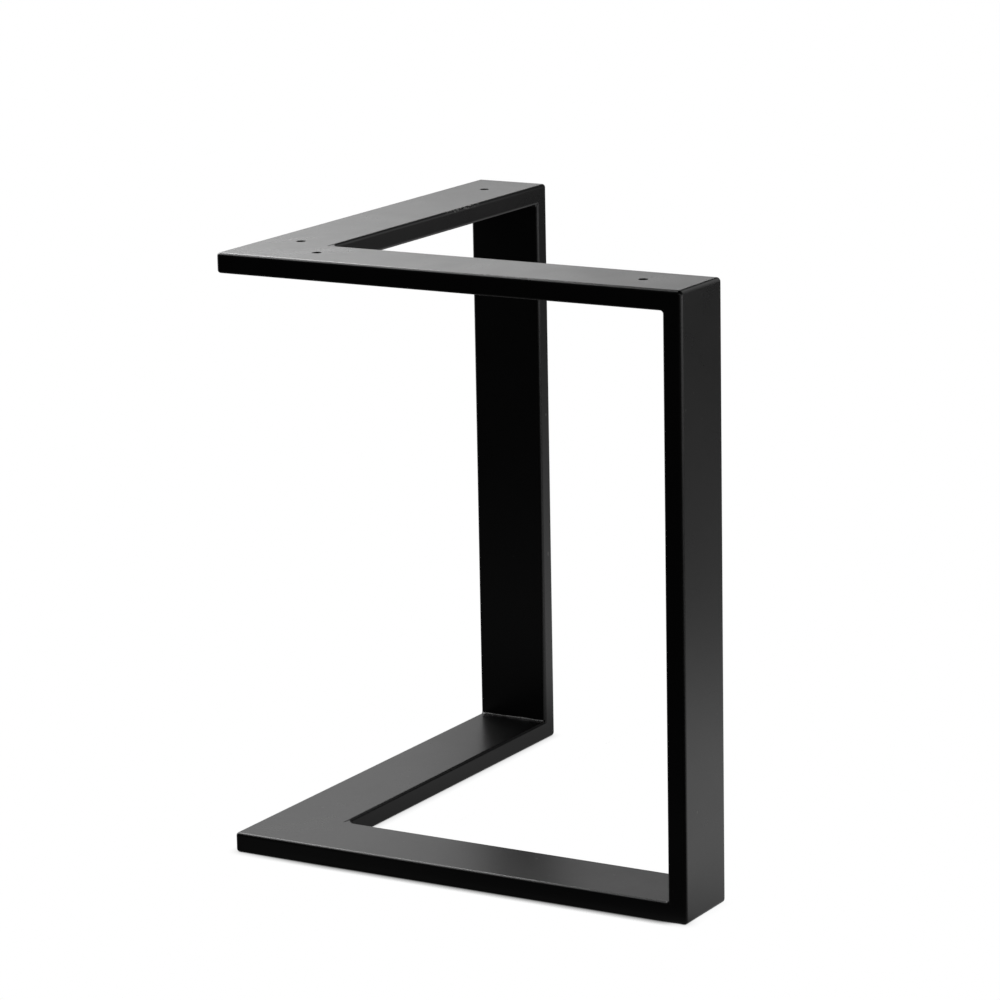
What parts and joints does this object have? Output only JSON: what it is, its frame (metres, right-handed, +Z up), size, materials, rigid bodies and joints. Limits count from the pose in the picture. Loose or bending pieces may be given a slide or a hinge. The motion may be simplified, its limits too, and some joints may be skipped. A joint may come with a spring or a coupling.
{
  "type": "coffee table leg",
  "caption": "V-shaped coffee table leg: flat rectangular steel tubes mitred and welded into an open frame, coated satin black, with screw holes in the top arms.",
  "frame": {"origin": "centre of the bounding box on the floor plane under the leg", "axes": "+Z up, +X along the bisector of the V from the tip towards the open side, +Y across the V towards the left upright"},
  "size_m": [0.3068, 0.531, 0.45],
  "materials": {
    "satin_black_coat": "satin black powder coat, very fine texture"
  },
  "bodies": {
    "root": {"top_arm_left": "satin_black_coat", "top_arm_right": "satin_black_coat", "bottom_arm_left": "satin_black_coat", "bottom_arm_right": "satin_black_coat", "upright_left": "satin_black_coat", "upright_right": "satin_black_coat", "weld_top_left": "satin_black_coat", "weld_top_right": "satin_black_coat", "weld_bottom_left": "satin_black_coat", "weld_bottom_right": "satin_black_coat", "weld_top_apex": "satin_black_coat", "weld_bottom_apex": "satin_black_coat"}
  },
  "joints": []
}
